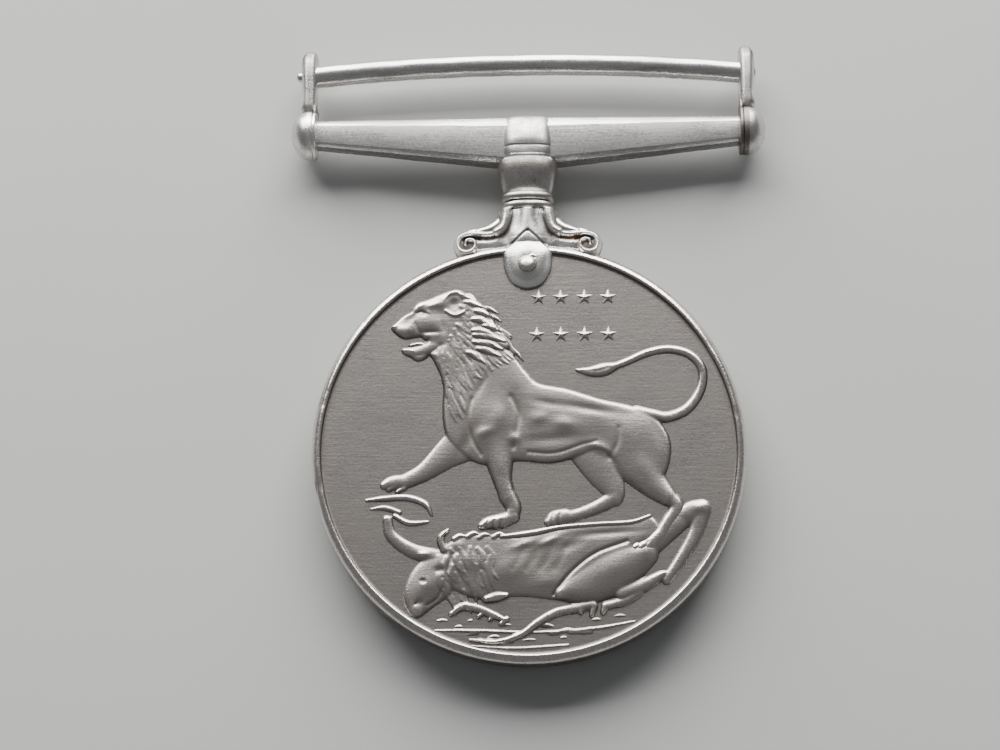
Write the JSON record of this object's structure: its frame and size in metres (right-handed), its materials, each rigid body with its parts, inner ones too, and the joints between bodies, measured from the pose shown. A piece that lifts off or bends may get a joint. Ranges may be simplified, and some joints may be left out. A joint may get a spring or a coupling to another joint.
{
  "type": "service medal",
  "caption": "Round service medal with a raised rim, held by a scrolled claw and pin to a fixed straight-bar ribbon suspender with domed ends.",
  "frame": {"origin": "middle of the underside of the whole medal's box, with the medal lying on its back", "axes": "+Z out of the front face, +Y from the disc up to the suspender, +X to the viewer's right when the front is seen with the suspender at the top"},
  "size_m": [0.041, 0.0544, 0.0048],
  "materials": {
    "struck_cupro_nickel": "worn satin, grey-brown",
    "cast_cupro_nickel": "worn satin, light grey, dark in the grooves",
    "drawn_cupro_nickel": "worn satin with fine lengthwise lines",
    "pin_metal": "hammered, slightly warm grey"
  },
  "bodies": {
    "root": {"medal_disc": "struck_cupro_nickel", "claw": "cast_cupro_nickel", "claw_pin": "pin_metal", "lower_collar": "cast_cupro_nickel", "upper_collar": "cast_cupro_nickel", "suspender_post": "pin_metal", "suspender_boss": "cast_cupro_nickel", "suspender_bar": "drawn_cupro_nickel", "left_end_lug": "cast_cupro_nickel", "right_end_lug": "cast_cupro_nickel", "left_end_dome": "cast_cupro_nickel", "right_end_dome": "cast_cupro_nickel", "top_rod": "drawn_cupro_nickel"}
  },
  "joints": []
}
